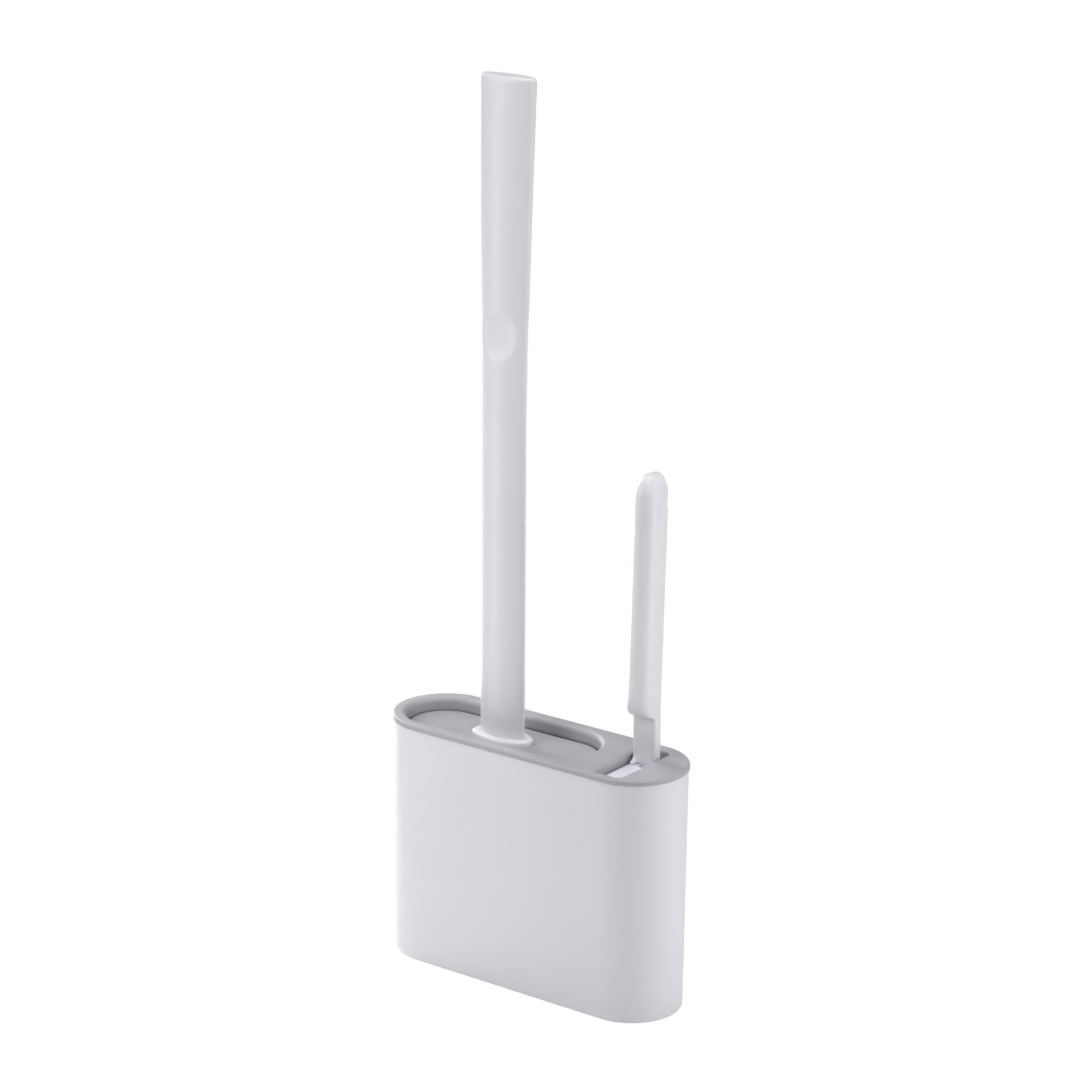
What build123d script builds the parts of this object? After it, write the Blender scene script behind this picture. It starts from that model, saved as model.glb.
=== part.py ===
"""Slim toilet brush holder with a large flat-headed brush and a small crevice brush.

Millimetres. +X runs along the holder, towards the small brush, -Y is the front and +Z is up.
The origin is the centre of the holder's footprint, on the floor.
"""
from build123d import *
from math import cos, radians, sin
import os

os.makedirs("parts", exist_ok=True)

# ---------------------------------------------------------------- driving dimensions
# Holder: every stadium round the holder shares the same two end centres.
END_X = 54.5                 # end centres of the holder's stadium, either side of the middle
SHELL_R = 25.0               # outer end radius of the shell at the seam
RIM_R = 25.5                 # outer end radius of the frame's rim
HEIGHT = 120.0               # floor to the top of the rim
SEAM_Z = 117.4               # where the rim sits down on the shell
WALL = 2.0
DRAFT = 0.49                 # degrees of draft on the shell
FOOT_GAP = 0.8               # height that the rubber feet hold the shell off the floor
SHELL_FLOOR = 2.4            # thickness of the shell's floor
FOOT_ROUND = 1.2             # rounding at the shell's bottom edge

# Large brush: lid, opening and handle share one axis.
BRUSH_X = -20.9
LID_HALF = 33.9              # end centres of the lid's stadium, either side of BRUSH_X
SCOOP_R = 18.6               # end radius of the wall round the lid
SCOOP_ROUND = 2.6            # rounding from the rim down into the wall
LID_R = 17.75
LID_TOP_Z = 113.8
LID_THICK = 3.2
OPENING_R = 15.9             # end radius of the opening that the brush head passes
LEDGE_TOP_Z = 110.4
LEDGE_THICK = 2.2

# Small brush slot and pocket.
SLOT_X0, SLOT_X1 = 47.0, 61.5
SLOT_Y0, SLOT_Y1 = -21.0, 19.5
SLOT_CORNER = 2.5
POCKET_TOP_Z = 110.9
POCKET_DEPTH = 31.0

# Large handle.
HANDLE_FOOT_Z = 103.0
HANDLE_TOP_Z = 425.0
HANDLE_TOP_ROUND = 1.8
HANDLE_FLARE_Z = 265.0       # below this the handle is a straight prism
# height, half width, end radius, full depth and backward offset of each section above it
HANDLE_SECTIONS = [
    (HANDLE_FLARE_Z, 12.6, 2.0, 9.8, 0.0),
    (300.0, 12.9, 2.2, 9.9, 0.4),
    (335.0, 13.6, 2.5, 10.2, 0.8),
    (369.0, 14.3, 2.8, 10.5, 1.3),
    (401.0, 14.8, 3.2, 10.8, 2.1),
    (HANDLE_TOP_Z, 15.2, 3.5, 11.0, 2.7),
]
THUMB_Z = 307.5              # centre of the round thumb rest
THUMB_R = 10.4
THUMB_DEPTH = 2.1
THUMB_ROUND = 0.6

# Small brush.
SMALL_X = 54.3
NECK_WIDTH = 12.6
NECK_Y0, NECK_Y1 = 7.4, 12.8
BLOCK_TOP_Z = 116.0
GRIP_BEND_Z = 152.0          # where the grip starts to lean back from the neck
GRIP_LEAN = 1.84             # degrees
GRIP_TOP_Z = 254.0

FIT = 0.1                    # clearance between pieces fixed to each other
LOOSE = 0.3                  # clearance between pieces that move apart
OVERLAP = 0.5                # how far one extrusion runs into the next to join it


def save(part, name):
    """Label a finished piece and write it as its own STEP file."""
    part.label = name
    export_step(part, f"parts/{name}.step")


def lens(half_width, end_radius, depth):
    """Closed outline of a flat handle: two shallow arcs joined by two tight round ends."""
    reach = half_width - end_radius
    radius = (reach**2 + depth**2 / 4 - end_radius**2) / (depth - 2 * end_radius)
    touch_x = reach + end_radius * reach / (radius - end_radius)
    touch_y = end_radius * (radius - depth / 2) / (radius - end_radius)
    ThreePointArc((-touch_x, -touch_y), (0, -depth / 2), (touch_x, -touch_y))
    ThreePointArc((touch_x, -touch_y), (half_width, 0), (touch_x, touch_y))
    ThreePointArc((touch_x, touch_y), (0, depth / 2), (-touch_x, touch_y))
    ThreePointArc((-touch_x, touch_y), (-half_width, 0), (-touch_x, -touch_y))


# ---------------------------------------------------------------- holder shell
SHELL_LENGTH = 2 * (END_X + SHELL_R)
FLOOR_Z = FOOT_GAP + SHELL_FLOOR
FOOT_SPOTS = [(x, y) for x in (-56, 56) for y in (-12, 12)]
FOOT_R = 6.0
FOOT_RECESS = 1.2
FOOT_CHAMFER = 0.3

with BuildPart() as holder_shell:
    with BuildSketch(Plane.XY.offset(SEAM_Z)):
        SlotOverall(SHELL_LENGTH, 2 * SHELL_R)
    extrude(amount=-(SEAM_Z - FOOT_GAP), taper=DRAFT)
    fillet(holder_shell.faces().sort_by(Axis.Z)[0].edges(), FOOT_ROUND)
    with BuildSketch(Plane.XY.offset(SEAM_Z)):
        SlotOverall(SHELL_LENGTH - 2 * WALL, 2 * (SHELL_R - WALL))
    extrude(amount=-(SEAM_Z - FLOOR_Z), taper=DRAFT, mode=Mode.SUBTRACT)
    with BuildSketch(Plane.XY.offset(FOOT_GAP)):
        with Locations(FOOT_SPOTS):
            Circle(FOOT_R + FIT)
    extrude(amount=FOOT_RECESS, mode=Mode.SUBTRACT)
save(holder_shell.part, "holder_shell")

with BuildPart() as rubber_feet:
    with BuildSketch():
        with Locations(FOOT_SPOTS):
            Circle(FOOT_R)
    extrude(amount=FOOT_GAP + FOOT_RECESS)
    chamfer(rubber_feet.faces().group_by(Axis.Z)[0].edges(), FOOT_CHAMFER)
save(rubber_feet.part, "rubber_feet")

# ---------------------------------------------------------------- drip tray and drain rack
TRAY_R = 21.4
TRAY_HEIGHT = 9.0
TRAY_WALL = 1.5
STUD_R = 2.0                 # studs on the tray's floor that carry the rack
STUD_PITCH = (36.0, 24.0)
RACK_R = TRAY_R - TRAY_WALL - LOOSE
RACK_THICK = 1.8
RACK_Z = FLOOR_Z + TRAY_HEIGHT - RACK_THICK
RACK_END_X = 36.0            # the rack stops here, so the tray is open under the small brush
RACK_SLOT = (20.0, 3.0)
RACK_SLOT_PITCH = (25.0, 6.5)
RACK_SLOTS = (4, 5)
RACK_MID_X = -19.0
RACK_ROUND = 0.5

with BuildPart() as drip_tray:
    with BuildSketch(Plane.XY.offset(FLOOR_Z)):
        SlotOverall(2 * (END_X + TRAY_R), 2 * TRAY_R)
    extrude(amount=TRAY_HEIGHT)
    with BuildSketch(Plane.XY.offset(FLOOR_Z + TRAY_WALL)):
        SlotOverall(2 * (END_X + TRAY_R - TRAY_WALL), 2 * (TRAY_R - TRAY_WALL))
    extrude(amount=TRAY_HEIGHT, mode=Mode.SUBTRACT)
    with BuildSketch(Plane.XY.offset(FLOOR_Z + TRAY_WALL)):
        with Locations((-STUD_PITCH[0] / 2, 0)):
            with GridLocations(*STUD_PITCH, 3, 2):
                Circle(STUD_R)
    extrude(amount=RACK_Z - FLOOR_Z - TRAY_WALL)
save(drip_tray.part, "drip_tray")

with BuildPart() as drain_rack:
    with BuildSketch(Plane.XY.offset(RACK_Z)):
        SlotOverall(2 * (END_X + RACK_R), 2 * RACK_R)
        with Locations((RACK_END_X, 0)):
            Rectangle(2 * (END_X + RACK_R), 2 * RACK_R, align=(Align.MAX, Align.CENTER),
                      mode=Mode.INTERSECT)
        with Locations((RACK_MID_X, 0)):
            with GridLocations(*RACK_SLOT_PITCH, *RACK_SLOTS):
                SlotOverall(*RACK_SLOT, mode=Mode.SUBTRACT)
    extrude(amount=RACK_THICK)
    fillet(drain_rack.faces().sort_by(Axis.Z)[-1].outer_wire().edges(), RACK_ROUND)
save(drain_rack.part, "drain_rack")

# ---------------------------------------------------------------- top frame
PLUG_R = SHELL_R - WALL - 0.25
PLUG_WALL = 1.6
PLUG_Z = 106.5
SCOOP_WALL = 1.7
SLOT_WALL = 1.6
SLOT_MID = ((SLOT_X0 + SLOT_X1) / 2, (SLOT_Y0 + SLOT_Y1) / 2)
SLOT_SIZE = (SLOT_X1 - SLOT_X0, SLOT_Y1 - SLOT_Y0)
SLOT_EDGE_ROUND = 1.6
RIM_ROUND = 1.1
RIM_UNDER_ROUND = 0.3


def at_rim(edge):
    """Whether an edge lies in the rim's top face."""
    return abs(edge.center().Z - HEIGHT) < 0.01


with BuildPart() as top_frame:
    with BuildSketch(Plane.XY.offset(SEAM_Z)):
        SlotOverall(2 * (END_X + RIM_R), 2 * RIM_R)
    extrude(amount=HEIGHT - SEAM_Z)
    fillet(top_frame.faces().sort_by(Axis.Z)[-1].edges(), RIM_ROUND)
    fillet(top_frame.faces().sort_by(Axis.Z)[0].edges(), RIM_UNDER_ROUND)
    # plug ring that drops inside the shell
    with BuildSketch(Plane.XY.offset(PLUG_Z)):
        SlotOverall(2 * (END_X + PLUG_R), 2 * PLUG_R)
        SlotOverall(2 * (END_X + PLUG_R - PLUG_WALL), 2 * (PLUG_R - PLUG_WALL), mode=Mode.SUBTRACT)
    extrude(amount=SEAM_Z - PLUG_Z + OVERLAP)
    # wall and ledge round the large brush's opening
    with BuildSketch(Plane.XY.offset(LEDGE_TOP_Z - LEDGE_THICK)):
        with Locations((BRUSH_X, 0)):
            SlotOverall(2 * (LID_HALF + SCOOP_R + SCOOP_WALL), 2 * (SCOOP_R + SCOOP_WALL))
    extrude(amount=SEAM_Z - LEDGE_TOP_Z + LEDGE_THICK + OVERLAP)
    # block round the small brush's slot, kept inside the plug ring
    with BuildSketch(Plane.XY.offset(POCKET_TOP_Z)):
        with Locations(SLOT_MID):
            Rectangle(SLOT_SIZE[0] + 2 * SLOT_WALL, SLOT_SIZE[1] + 2 * SLOT_WALL)
        SlotOverall(2 * (END_X + PLUG_R), 2 * PLUG_R, mode=Mode.INTERSECT)
    extrude(amount=SEAM_Z - POCKET_TOP_Z + OVERLAP)
    # recess for the lid, opening for the brush head and slot for the small brush
    with BuildSketch(Plane.XY.offset(LEDGE_TOP_Z)):
        with Locations((BRUSH_X, 0)):
            SlotOverall(2 * (LID_HALF + SCOOP_R), 2 * SCOOP_R)
    extrude(amount=HEIGHT, mode=Mode.SUBTRACT)
    with BuildSketch(Plane.XY.offset(PLUG_Z)):
        with Locations((BRUSH_X, 0)):
            SlotOverall(2 * (LID_HALF + OPENING_R), 2 * OPENING_R)
        with Locations(SLOT_MID):
            RectangleRounded(*SLOT_SIZE, SLOT_CORNER)
    extrude(amount=HEIGHT, mode=Mode.SUBTRACT)
    slot_edge = top_frame.edges().filter_by(at_rim).filter_by(Axis.Y).sort_by(Axis.X)[0]
    fillet(slot_edge, SLOT_EDGE_ROUND)
    bar_x = SLOT_X0 - 2 * SLOT_EDGE_ROUND
    fillet(top_frame.edges().filter_by(at_rim).filter_by(
        lambda e: e.center().X < bar_x and abs(e.center().Y) < SCOOP_R + FIT), SCOOP_ROUND)
save(top_frame.part, "top_frame")

# ---------------------------------------------------------------- pocket under the slot
POCKET_WALL = 1.5
POCKET_X0, POCKET_X1 = 49.0, 59.6
POCKET_Y0, POCKET_Y1 = -17.6, 16.0
POCKET_MID = ((POCKET_X0 + POCKET_X1) / 2, (POCKET_Y0 + POCKET_Y1) / 2)
POCKET_SIZE = (POCKET_X1 - POCKET_X0, POCKET_Y1 - POCKET_Y0)
POCKET_FLOOR_Z = POCKET_TOP_Z - POCKET_DEPTH
POCKET_CORNER = 1.6
DRAIN_SLOT = (7.0, 2.4)
DRAIN_PITCH = 7.0

with BuildPart() as brush_pocket:
    with BuildSketch(Plane.XY.offset(POCKET_FLOOR_Z)):
        with Locations(POCKET_MID):
            RectangleRounded(POCKET_SIZE[0] + 2 * POCKET_WALL, POCKET_SIZE[1] + 2 * POCKET_WALL,
                             POCKET_CORNER + POCKET_WALL)
    extrude(amount=POCKET_DEPTH)
    with BuildSketch(Plane.XY.offset(POCKET_TOP_Z - POCKET_WALL)):
        with Locations(SLOT_MID):
            Rectangle(SLOT_SIZE[0] + 2 * SLOT_WALL, SLOT_SIZE[1])
        SlotOverall(2 * (END_X + PLUG_R - LOOSE), 2 * (PLUG_R - LOOSE), mode=Mode.INTERSECT)
        SlotOverall(2 * (END_X + PLUG_R - PLUG_WALL - FIT), 2 * (PLUG_R - PLUG_WALL - FIT),
                    mode=Mode.INTERSECT)
    extrude(amount=POCKET_WALL)
    with BuildSketch(Plane.XY.offset(POCKET_FLOOR_Z + POCKET_WALL)):
        with Locations(POCKET_MID):
            RectangleRounded(*POCKET_SIZE, POCKET_CORNER)
    extrude(amount=POCKET_DEPTH, mode=Mode.SUBTRACT)
    # drain slots in its floor
    with BuildSketch(Plane.XY.offset(POCKET_FLOOR_Z)):
        with Locations(POCKET_MID):
            with GridLocations(0, DRAIN_PITCH, 1, 4):
                SlotOverall(*DRAIN_SLOT)
    extrude(amount=POCKET_WALL, mode=Mode.SUBTRACT)
save(brush_pocket.part, "brush_pocket")

# ---------------------------------------------------------------- large brush: handle
SOCKET = (14.3, 5.7)
SOCKET_CORNER = 1.5
SOCKET_DEPTH = 48.0

with BuildPart() as main_handle:
    with BuildSketch(Plane((BRUSH_X, 0, HANDLE_FOOT_Z))):
        with BuildLine():
            lens(*HANDLE_SECTIONS[0][1:4])
        make_face()
    extrude(amount=HANDLE_FLARE_Z - HANDLE_FOOT_Z)
    for z, half_width, end_radius, depth, back in HANDLE_SECTIONS:
        with BuildSketch(Plane((BRUSH_X, back, z))):
            with BuildLine():
                lens(half_width, end_radius, depth)
            make_face()
    loft()
    fillet(main_handle.faces().sort_by(Axis.Z)[-1].edges(), HANDLE_TOP_ROUND)
    # round thumb rest with a sloping wall, sunk into the front
    thumb_floor_y = HANDLE_SECTIONS[1][4] - HANDLE_SECTIONS[1][3] / 2 + THUMB_DEPTH
    with BuildSketch(Plane((BRUSH_X, thumb_floor_y, THUMB_Z), x_dir=(1, 0, 0), z_dir=(0, -1, 0))):
        Circle(THUMB_R - THUMB_DEPTH)
    extrude(amount=2 * THUMB_DEPTH, taper=-45, mode=Mode.SUBTRACT)
    fillet(main_handle.edges(Select.LAST), THUMB_ROUND)
    # socket for the head's stem
    with BuildSketch(Plane((BRUSH_X, 0, HANDLE_FOOT_Z))):
        RectangleRounded(*SOCKET, SOCKET_CORNER)
    extrude(amount=SOCKET_DEPTH, mode=Mode.SUBTRACT)
save(main_handle.part, "main_handle")

# ---------------------------------------------------------------- large brush: lid and its fixings
LID_RECESS = 1.2
LID_ROUND = 0.6
LID_BOSS = (34.0, 18.0)      # boss under the lid that the clip bears on
COLLAR_HEIGHT = 2.5
COLLAR_MARGIN = 3.7
COLLAR_ROUND = 1.3
CLIP_THICK = 2.6
CLIP_SIZE = (33.0, 17.0)
CLIP_MOUTH = 9.0             # width of the clip's open side
CLIP_CHAMFER = 0.5
HANDLE_HOLE = (HANDLE_SECTIONS[0][1] + FIT, HANDLE_SECTIONS[0][2] + FIT, HANDLE_SECTIONS[0][3] + 2 * FIT)

with BuildPart() as main_lid:
    with BuildSketch(Plane((BRUSH_X, 0, LID_TOP_Z))):
        SlotOverall(2 * (LID_HALF + LID_R), 2 * LID_R)
    extrude(amount=-LID_THICK)
    fillet(main_lid.faces().sort_by(Axis.Z)[-1].edges(), LID_ROUND)
    with BuildSketch(Plane((BRUSH_X, 0, LID_TOP_Z - LID_THICK))):
        SlotOverall(2 * (LID_HALF + OPENING_R - 1), 2 * (OPENING_R - 1))
        SlotOverall(*LID_BOSS, mode=Mode.SUBTRACT)
    extrude(amount=LID_RECESS, mode=Mode.SUBTRACT)
    with BuildSketch(Plane((BRUSH_X, 0, LID_TOP_Z))):
        with BuildLine():
            lens(*HANDLE_HOLE)
        make_face()
    extrude(amount=-LID_THICK, mode=Mode.SUBTRACT)
save(main_lid.part, "main_lid")

with BuildPart() as handle_collar:
    with BuildSketch(Plane((BRUSH_X, 0, LID_TOP_Z))):
        with BuildLine():
            lens(HANDLE_HOLE[0] + COLLAR_MARGIN, HANDLE_HOLE[1] + COLLAR_MARGIN,
                 HANDLE_HOLE[2] + 2 * COLLAR_MARGIN)
        make_face()
        with BuildLine():
            lens(*HANDLE_HOLE)
        make_face(mode=Mode.SUBTRACT)
    extrude(amount=COLLAR_HEIGHT)
    fillet(handle_collar.faces().sort_by(Axis.Z)[-1].outer_wire().edges(), COLLAR_ROUND)
save(handle_collar.part, "handle_collar")

with BuildPart() as lid_clip:
    with BuildSketch(Plane((BRUSH_X, 0, LID_TOP_Z - LID_THICK - CLIP_THICK))):
        SlotOverall(*CLIP_SIZE)
        with BuildLine():
            lens(*HANDLE_HOLE)
        make_face(mode=Mode.SUBTRACT)
        with Locations((0, CLIP_SIZE[1] / 2)):
            Rectangle(CLIP_MOUTH, CLIP_MOUTH, mode=Mode.SUBTRACT)
    extrude(amount=CLIP_THICK)
    chamfer(lid_clip.faces().sort_by(Axis.Z)[0].outer_wire().edges(), CLIP_CHAMFER)
save(lid_clip.part, "lid_clip")

# ---------------------------------------------------------------- large brush: head
HEAD_WIDTH = 80.0
HEAD_BOTTOM_Z, HEAD_TOP_Z = 22.0, 93.0
HEAD_THICK = 9.0
HEAD_CORNER = 17.0
COVER_ROUND = 2.6
CORE_MARGIN = 6.0
CORE_THICK = 4.6
NECK_BLOCK = (24.0, 8.0)
NECK_CORNER = 2.5
NECK_FOOT_Z = HEAD_TOP_Z - CORE_MARGIN - 1
STEM_CHAMFER = 0.8
HEAD_MID_Z = (HEAD_BOTTOM_Z + HEAD_TOP_Z) / 2
HEAD_HEIGHT = HEAD_TOP_Z - HEAD_BOTTOM_Z
HEAD_FRONT = Plane((BRUSH_X, 0, HEAD_MID_Z), x_dir=(1, 0, 0), z_dir=(0, -1, 0))

with BuildPart() as head_core:
    with BuildSketch(HEAD_FRONT):
        RectangleRounded(HEAD_WIDTH - 2 * CORE_MARGIN, HEAD_HEIGHT - 2 * CORE_MARGIN,
                         HEAD_CORNER - CORE_MARGIN)
    extrude(amount=CORE_THICK / 2, both=True)
    with BuildSketch(Plane((BRUSH_X, 0, NECK_FOOT_Z))):
        RectangleRounded(*NECK_BLOCK, NECK_CORNER)
    extrude(amount=HANDLE_FOOT_Z - NECK_FOOT_Z)
    with BuildSketch(Plane((BRUSH_X, 0, HANDLE_FOOT_Z))):
        RectangleRounded(SOCKET[0] - 2 * FIT, SOCKET[1] - 2 * FIT, SOCKET_CORNER - FIT)
    extrude(amount=SOCKET_DEPTH - 2)
    chamfer(head_core.faces().sort_by(Axis.Z)[-1].edges(), STEM_CHAMFER)
save(head_core.part, "head_core")

with BuildPart() as head_cover:
    with BuildSketch(HEAD_FRONT):
        RectangleRounded(HEAD_WIDTH, HEAD_HEIGHT, HEAD_CORNER)
    extrude(amount=HEAD_THICK / 2, both=True)
    fillet(head_cover.faces().filter_by(Axis.Y).edges(), COVER_ROUND)
    add(head_core.part, mode=Mode.SUBTRACT)
save(head_cover.part, "head_cover")

# ---------------------------------------------------------------- large brush: bristles
BRISTLE_PITCH = 7.2
BRISTLE_R = 1.25             # at the root
BRISTLE_TAPER = 3.6          # degrees
FACE_BRISTLE = 8.0
EDGE_BRISTLE = 5.0
FACE_COLUMNS, FACE_ROWS = 10, 9
EDGE_COLUMNS, EDGE_ROWS = 7, 6


def bristle_field(root, columns, rows, length):
    """Tapered bristles standing on a plane; a second grid fills the gaps of a wide one."""
    with BuildPart() as field:
        with BuildSketch(root):
            with GridLocations(BRISTLE_PITCH, BRISTLE_PITCH, columns, rows):
                Circle(BRISTLE_R)
            if min(columns, rows) > 1:
                with GridLocations(BRISTLE_PITCH, BRISTLE_PITCH, columns - 1, rows - 1):
                    Circle(BRISTLE_R)
        extrude(amount=length, taper=BRISTLE_TAPER)
    return field.part


HEAD_FACE_BACK = Plane((BRUSH_X, 0, HEAD_MID_Z), x_dir=(-1, 0, 0), z_dir=(0, 1, 0))
front_bristles = bristle_field(HEAD_FRONT.offset(HEAD_THICK / 2), FACE_COLUMNS, FACE_ROWS, FACE_BRISTLE)
save(front_bristles, "front_bristles")
back_bristles = bristle_field(HEAD_FACE_BACK.offset(HEAD_THICK / 2), FACE_COLUMNS, FACE_ROWS, FACE_BRISTLE)
save(back_bristles, "back_bristles")

with BuildPart() as edge_bristles:
    add(bristle_field(Plane((BRUSH_X, 0, HEAD_BOTTOM_Z), x_dir=(1, 0, 0), z_dir=(0, 0, -1)),
                      EDGE_COLUMNS, 1, EDGE_BRISTLE))
    for side in (-1, 1):
        add(bristle_field(Plane((BRUSH_X + side * HEAD_WIDTH / 2, 0, HEAD_MID_Z),
                                x_dir=(0, 0, 1), z_dir=(side, 0, 0)),
                          EDGE_ROWS, 1, EDGE_BRISTLE))
save(edge_bristles.part, "edge_bristles")

# ---------------------------------------------------------------- small brush
BLOCK_BOTTOM_Z = POCKET_TOP_Z + 0.2
BLOCK_X0, BLOCK_X1 = 48.4, 60.2
BLOCK_Y0, BLOCK_Y1 = -18.5, 13.5
BLOCK_MID = ((BLOCK_X0 + BLOCK_X1) / 2, (BLOCK_Y0 + BLOCK_Y1) / 2)
NECK_MID_Y = (NECK_Y0 + NECK_Y1) / 2
BLOCK_CORNER = 2.0
BLOCK_ROUND = 0.5
NECK_EDGE = 0.7              # rounding of the neck's upright edges
PEG = (6.0, 3.0)             # peg under the neck that plugs into the block
PEG_CORNER = 0.5
PEG_DEPTH = 3.6
GUSSET = (3.2, 3.4, 2.6)     # width, reach and height of the small web at the neck's front foot
GUSSET_LIP = 0.8
GUSSET_X = SMALL_X - 4.3
DRAIN = (3.2, 3.0)           # small drain recess in the block, in front of the neck
DRAIN_CORNER = 0.7
DRAIN_SPOT = (SMALL_X + 0.4, NECK_Y0 - 1.9)

with BuildPart() as small_block:
    with BuildSketch(Plane.XY.offset(BLOCK_BOTTOM_Z)):
        with Locations(BLOCK_MID):
            RectangleRounded(BLOCK_X1 - BLOCK_X0, BLOCK_Y1 - BLOCK_Y0, BLOCK_CORNER)
    extrude(amount=BLOCK_TOP_Z - BLOCK_BOTTOM_Z)
    fillet(small_block.faces().sort_by(Axis.Z)[-1].edges(), BLOCK_ROUND)
    with BuildSketch(Plane.XY.offset(BLOCK_TOP_Z)):
        with Locations((SMALL_X, NECK_MID_Y)):
            RectangleRounded(PEG[0] + 2 * FIT, PEG[1] + 2 * FIT, PEG_CORNER + FIT)
        with Locations(DRAIN_SPOT):
            RectangleRounded(*DRAIN, DRAIN_CORNER)
    extrude(amount=-PEG_DEPTH, mode=Mode.SUBTRACT)
save(small_block.part, "small_block")

# The grip leans back about a line across the neck, so it is drawn on a tilted plane.
lean = radians(GRIP_LEAN)
GRIP_BASE = Plane((SMALL_X, 0, GRIP_BEND_Z), x_dir=(1, 0, 0), z_dir=(0, sin(lean), cos(lean)))
GRIP_SIDE = Plane((SMALL_X, 0, GRIP_BEND_Z), x_dir=GRIP_BASE.y_dir, z_dir=(1, 0, 0))
GRIP_LENGTH = GRIP_TOP_Z - GRIP_BEND_Z
GRIP_HALF = NECK_WIDTH / 2
GRIP_DOME = 10.5             # height of the half-round top, seen from the front
GRIP_START = 12.2            # how far the grip's underside hangs below the bend
BULGE_Y = 6.6                # where the flat sides end and the rounded front begins
BULGE = 8.5                  # how far the rounded front stands out from there
HANG_DIMPLE = (11.5, 239.0)  # depthwise place and height of the shallow round dimples
HANG_DIMPLE_R = 4.3
HANG_DIMPLE_DEPTH = 0.5

GRIP_TIP = scale(Sphere(1), by=(GRIP_HALF, BULGE, GRIP_DOME))
GRIP_CROWN = Plane(GRIP_BASE.from_local_coords((0, BULGE_Y, GRIP_LENGTH - GRIP_DOME)),
                   x_dir=(1, 0, 0), z_dir=GRIP_BASE.y_dir)

with BuildPart() as small_grip:
    with BuildSketch(GRIP_BASE.offset(-GRIP_START)):
        with Locations((0, BULGE_Y)):
            Ellipse(GRIP_HALF, BULGE)
        with Locations((0, BULGE_Y + BULGE)):
            Rectangle(NECK_WIDTH, 2 * BULGE, mode=Mode.SUBTRACT)
        with Locations((0, (BULGE_Y + NECK_Y1) / 2)):
            Rectangle(NECK_WIDTH, NECK_Y1 - BULGE_Y)
    extrude(amount=GRIP_START + GRIP_LENGTH - GRIP_DOME)
    # half-round top: a rounded tip over the front, whose outline runs straight back
    add(GRIP_BASE * Pos(0, BULGE_Y, GRIP_LENGTH - GRIP_DOME) * GRIP_TIP)
    with BuildSketch(GRIP_CROWN):
        Ellipse(GRIP_HALF, GRIP_DOME)
    extrude(amount=NECK_Y1 - BULGE_Y)
    # flat back, and the underside that curves down to the neck
    with BuildSketch(GRIP_SIDE):
        with BuildLine():
            front = BULGE_Y - BULGE
            under = EllipticalCenterArc((NECK_Y0, 0), NECK_Y0 - front, GRIP_START,
                                        start_angle=180, arc_size=90)
            Polyline(under @ 0, (front, GRIP_LENGTH), (NECK_Y1, GRIP_LENGTH), (NECK_Y1, 0),
                     (NECK_Y1 - 2, 0), (NECK_Y1 - 2, -GRIP_START), under @ 1)
        make_face()
    extrude(amount=NECK_WIDTH, both=True, mode=Mode.INTERSECT)

with BuildPart() as small_handle:
    with BuildSketch(Plane.XY.offset(BLOCK_TOP_Z)):
        with Locations((SMALL_X, NECK_MID_Y)):
            RectangleRounded(NECK_WIDTH, NECK_Y1 - NECK_Y0, NECK_EDGE)
    extrude(amount=GRIP_BEND_Z - BLOCK_TOP_Z)
    add(small_grip.part)
    with BuildSketch(Plane.XY.offset(BLOCK_TOP_Z - PEG_DEPTH + FIT)):
        with Locations((SMALL_X, NECK_MID_Y)):
            RectangleRounded(*PEG, PEG_CORNER)
    extrude(amount=PEG_DEPTH)
    with BuildSketch(Plane((GUSSET_X, 0, BLOCK_TOP_Z), x_dir=(0, 1, 0), z_dir=(1, 0, 0))):
        with BuildLine():
            toe = NECK_Y0 - GUSSET[1]
            Polyline((toe, 0), (NECK_Y0 + FIT, 0), (NECK_Y0 + FIT, GUSSET[2]), (toe, GUSSET_LIP), close=True)
        make_face()
    extrude(amount=GUSSET[0] / 2, both=True)
    for side in (-1, 1):
        dimple = Plane((SMALL_X + side * GRIP_HALF, *HANG_DIMPLE), x_dir=(0, 1, 0), z_dir=(side, 0, 0))
        with BuildSketch(dimple.offset(-HANG_DIMPLE_DEPTH)):
            Circle(HANG_DIMPLE_R)
        extrude(amount=HANG_DIMPLE_DEPTH + 1, mode=Mode.SUBTRACT)
save(small_handle.part, "small_handle")

TUFT_R = 1.1
TUFT_LENGTH = 24.0
TUFT_PITCH = (3.1, 3.7)
TUFTS = (3, 8)

with BuildPart() as small_bristles:
    with BuildSketch(Plane.XY.offset(BLOCK_BOTTOM_Z)):
        with Locations(BLOCK_MID):
            with GridLocations(*TUFT_PITCH, *TUFTS):
                Circle(TUFT_R)
    extrude(amount=-TUFT_LENGTH)
save(small_bristles.part, "small_bristles")
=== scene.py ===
"""Looks of a slim toilet brush holder with a large brush and a small crevice brush.

The CAD model is loaded as a fixed frame, and most of its pieces keep their shapes and get
finishes here. The two handles are copied with their edges melted, and the bristles are built
anew in detail. Lengths are in metres.
"""
import logging
import math
import random
from dataclasses import dataclass, field
from enum import Enum
from typing import Callable

import bmesh
import bpy
from mathutils import Matrix, Quaternion, Vector


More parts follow.
